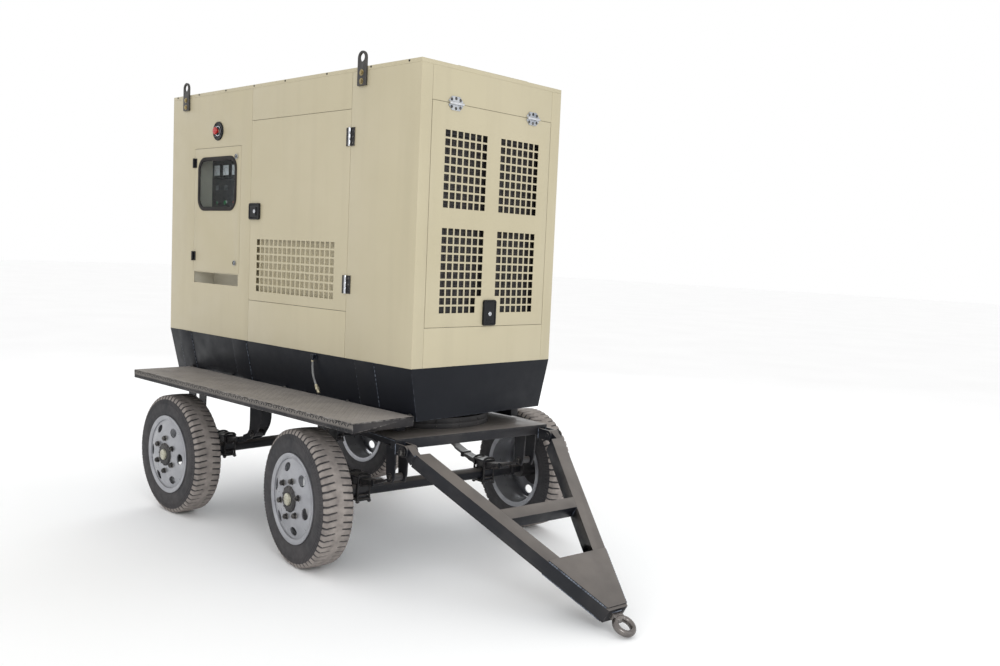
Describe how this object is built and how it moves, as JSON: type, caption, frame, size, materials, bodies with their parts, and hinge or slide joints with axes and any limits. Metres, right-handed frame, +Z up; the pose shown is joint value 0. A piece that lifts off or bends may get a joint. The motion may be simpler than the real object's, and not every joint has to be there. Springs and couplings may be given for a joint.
{
  "type": "towable diesel generator",
  "caption": "Silenced diesel generator in a sheet-metal canopy on a four-wheel towing trailer with a turntable-steered front bogie and A-frame drawbar.",
  "frame": {"origin": "on the ground under the middle of the whole machine's bounding box", "axes": "+X towards the drawbar, +Y to the machine's left, +Z up; the control panel faces -Y"},
  "size_m": [3.7794, 1.806, 2.7749],
  "materials": {
    "canopy": "satin powder coat",
    "inner_paint": "matt grey paint",
    "base_black": "satin black paint",
    "chassis_black": "worn black paint, dusty",
    "zinc": "zinc plated",
    "bolt_steel": "dark oxidised steel",
    "lug_steel": "satin black",
    "black_plastic": "moulded, fine grain",
    "red_plastic": "glossy",
    "green_plastic": "glossy",
    "window_glass": "clear",
    "panel_board": "satin",
    "tyre": "dusty tread",
    "wheel_silver": "silver paint",
    "spring_steel": "black, dusty",
    "engine_paint": "painted casting",
    "alternator_paint": "painted casting",
    "exhaust_steel": "heat-stained",
    "radiator_black": "matt black",
    "battery_case": "moulded",
    "belt_rubber": "matt",
    "hose_rubber": "matt grey",
    "brass": "satin",
    "fan_paint": "matt",
    "cast_dark": "machined faces"
  },
  "bodies": {
    "chassis": {"base_frame": "base_black", "main_frame": "chassis_black", "upper_ring": "cast_dark", "running_board": "chassis_black", "rear_axle": "chassis_black", "rear_leaf_springs": "spring_steel", "right_front_panel": "canopy", "left_front_panel": "canopy", "right_rear_panel": "canopy", "left_rear_panel": "canopy", "canopy_frame": "canopy", "rear_panel": "canopy", "roof_panel": "canopy", "lifting_lugs": "lug_steel", "canopy_fasteners": "bolt_steel", "hinge_leaves": "zinc", "control_cabinet": "inner_paint", "control_panel": "panel_board", "estop_housing": "black_plastic", "engine_block": "engine_paint", "cylinder_head": "engine_paint", "alternator": "alternator_paint", "engine_skid": "chassis_black", "exhaust_silencer": "exhaust_steel", "radiator": "radiator_black", "battery": "battery_case", "fan_belt": "belt_rubber", "drain_hose": "hose_rubber", "hose_fitting": "brass"},
    "bogie": {"lower_ring": "cast_dark", "bogie_frame": "chassis_black", "front_axle": "chassis_black", "front_leaf_springs": "spring_steel"},
    "drawbar": {"drawbar_frame": "chassis_black", "tow_eye": "bolt_steel"},
    "right_service_door": {"right_door": "canopy"},
    "right_door_handle": {"right_door_paddle": "black_plastic"},
    "left_service_door": {"left_door": "canopy"},
    "left_door_handle": {"left_door_paddle": "black_plastic"},
    "radiator_door": {"front_door": "canopy"},
    "radiator_door_handle": {"front_door_paddle": "black_plastic"},
    "control_door": {"control_door": "canopy", "control_window": "window_glass"},
    "lower_quarter_lock": {"lower_quarter_lock": "black_plastic"},
    "upper_quarter_lock": {"upper_quarter_lock": "black_plastic"},
    "roof_hatch": {"roof_hatch": "canopy"},
    "start_button": {"start_button": "green_plastic"},
    "stop_button": {"stop_button": "red_plastic"},
    "estop_button": {"estop_button": "red_plastic"},
    "fuel_cap": {"fuel_cap": "black_plastic"},
    "cooling_fan": {"cooling_fan": "fan_paint"},
    "crank_pulley": {"crank_pulley": "cast_dark"},
    "front_left_wheel": {"front_left_tyre": "tyre", "front_left_wheel": "wheel_silver"},
    "front_right_wheel": {"front_right_tyre": "tyre", "front_right_wheel": "wheel_silver"},
    "rear_left_wheel": {"rear_left_tyre": "tyre", "rear_left_wheel": "wheel_silver"},
    "rear_right_wheel": {"rear_right_tyre": "tyre", "rear_right_wheel": "wheel_silver"}
  },
  "joints": [
    {"name": "steering_turntable", "type": "hinge", "parent": "chassis", "child": "bogie", "pos_m": [0.19128, 0, 0.782], "axis": [0, 0, 1], "range_deg": [-52.5, 67.5]},
    {"name": "drawbar_lift", "type": "hinge", "parent": "bogie", "child": "drawbar", "pos_m": [0.74649, -0.07309, 0.704], "axis": [-0.1305, -0.9914, 0], "range_deg": [0, 38]},
    {"name": "rear_left_wheel_spin", "type": "hinge", "parent": "chassis", "child": "rear_left_wheel", "pos_m": [-1.28972, 0.771, 0.375], "axis": [0, 1, 0], "continuous": true},
    {"name": "front_left_wheel_spin", "type": "hinge", "parent": "bogie", "child": "front_left_wheel", "pos_m": [0.29192, 0.7644, 0.375], "axis": [0.1305, 0.9914, 0], "continuous": true},
    {"name": "rear_right_wheel_spin", "type": "hinge", "parent": "chassis", "child": "rear_right_wheel", "pos_m": [-1.28972, -0.771, 0.375], "axis": [0, 1, 0], "continuous": true},
    {"name": "front_right_wheel_spin", "type": "hinge", "parent": "bogie", "child": "front_right_wheel", "pos_m": [0.09064, -0.7644, 0.375], "axis": [0.1305, 0.9914, 0], "continuous": true},
    {"name": "right_door_swing", "type": "hinge", "parent": "chassis", "child": "right_service_door", "pos_m": [0.08828, -0.5485, 1.928], "axis": [0, 0, 1], "range_deg": [0, 110]},
    {"name": "left_door_swing", "type": "hinge", "parent": "chassis", "child": "left_service_door", "pos_m": [0.08828, 0.5485, 1.928], "axis": [0, 0, -1], "range_deg": [0, 110]},
    {"name": "control_door_swing", "type": "hinge", "parent": "chassis", "child": "control_door", "pos_m": [-1.58772, -0.5485, 1.932], "axis": [0, 0, -1], "range_deg": [0, 110]},
    {"name": "radiator_door_swing", "type": "hinge", "parent": "chassis", "child": "radiator_door", "pos_m": [0.65928, 0, 2.497], "axis": [0, -1, 0], "range_deg": [0, 85]},
    {"name": "right_paddle_pull", "type": "hinge", "parent": "right_service_door", "child": "right_door_handle", "pos_m": [-0.80172, -0.5495, 1.925], "axis": [0, 0, 1], "range_deg": [0, 35]},
    {"name": "left_paddle_pull", "type": "hinge", "parent": "left_service_door", "child": "left_door_handle", "pos_m": [-0.80172, 0.5495, 1.925], "axis": [0, 0, -1], "range_deg": [0, 35]},
    {"name": "radiator_paddle_pull", "type": "hinge", "parent": "radiator_door", "child": "radiator_door_handle", "pos_m": [0.66028, 0.01, 1.462], "axis": [0, -1, 0], "range_deg": [0, 35]},
    {"name": "lower_lock_turn", "type": "hinge", "parent": "control_door", "child": "lower_quarter_lock", "pos_m": [-1.07072, -0.5395, 1.6], "axis": [0, 1, 0], "range_deg": [0, 90]},
    {"name": "upper_lock_turn", "type": "hinge", "parent": "control_door", "child": "upper_quarter_lock", "pos_m": [-1.07072, -0.5395, 2.267], "axis": [0, 1, 0], "range_deg": [0, 90]},
    {"name": "roof_hatch_swing", "type": "hinge", "parent": "chassis", "child": "roof_hatch", "pos_m": [0.24828, 0.0185, 2.701], "axis": [0, -1, 0], "range_deg": [0, 100]},
    {"name": "start_button_press", "type": "slide", "parent": "chassis", "child": "start_button", "axis": [0, 1, 0], "range_m": [0, 0.003], "stiffness_N_per_m": 800},
    {"name": "stop_button_press", "type": "slide", "parent": "chassis", "child": "stop_button", "axis": [0, 1, 0], "range_m": [0, 0.003], "stiffness_N_per_m": 800},
    {"name": "emergency_stop_press", "type": "slide", "parent": "chassis", "child": "estop_button", "axis": [0, 1, 0], "range_m": [0, 0.006]},
    {"name": "fuel_cap_turn", "type": "hinge", "parent": "chassis", "child": "fuel_cap", "pos_m": [-1.59872, 0.5495, 1.25], "axis": [0, 1, 0], "range_deg": [0, 90]},
    {"name": "crank_spin", "type": "hinge", "parent": "chassis", "child": "crank_pulley", "pos_m": [0.44928, 0, 1.45], "axis": [1, 0, 0], "continuous": true},
    {"name": "fan_spin", "type": "hinge", "parent": "chassis", "child": "cooling_fan", "pos_m": [0.44928, 0, 1.64], "axis": [1, 0, 0], "continuous": true}
  ],
  "couplings": [
    {"joint": "fan_spin", "follows": "crank_spin", "ratio": 1.0714}
  ]
}
